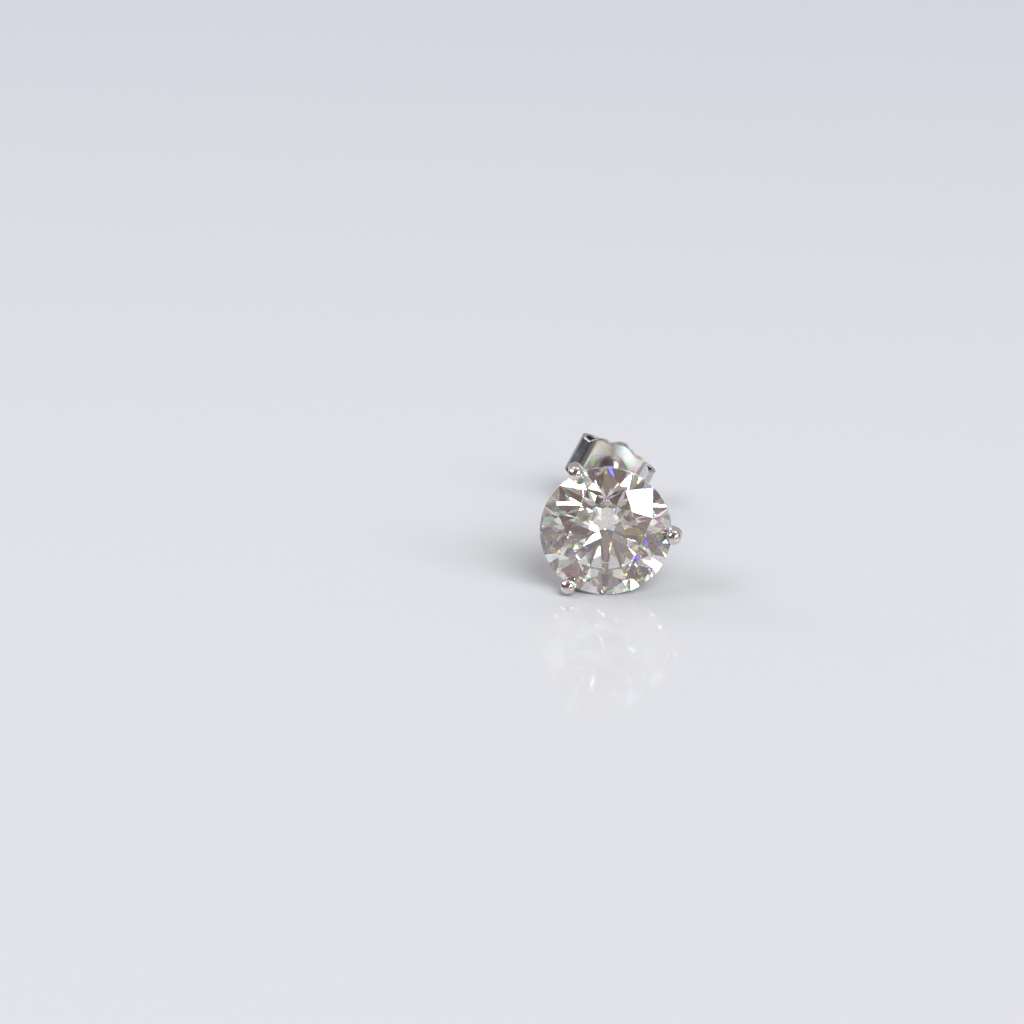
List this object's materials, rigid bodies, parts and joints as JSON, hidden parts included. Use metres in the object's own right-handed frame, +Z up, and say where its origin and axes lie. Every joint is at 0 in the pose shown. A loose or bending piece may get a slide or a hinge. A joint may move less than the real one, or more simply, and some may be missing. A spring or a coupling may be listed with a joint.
{
  "type": "stud earring",
  "caption": "Stud earring: round brilliant-cut stone in a martini setting with bead-tipped prongs on a notched post, closed by a butterfly clutch, lying at rest on a flat surface.",
  "frame": {"origin": "middle of the footprint, on the surface that the earring rests on", "axes": "+Z up, the stone's table faces -Y and a little up, the post runs back along +Y and dips to the rear, +X to the right seen from the stone's side"},
  "size_m": [0.0086, 0.0176, 0.0082],
  "materials": {
    "diamond": "cut and polished, colourless with a faint warm tint",
    "white_gold": "mirror polished white gold",
    "pressed_white_gold": "polished white gold sheet, stamped and rolled"
  },
  "bodies": {
    "earring": {"round_brilliant_stone": "diamond", "three_prong_setting": "white_gold"},
    "clutch": {"butterfly_clutch": "pressed_white_gold"}
  },
  "joints": [
    {"name": "clutch_slide", "type": "slide", "parent": "earring", "child": "clutch", "axis": [0, -0.9925, 0.1219], "range_m": [-0.0028, 0.0074]}
  ]
}
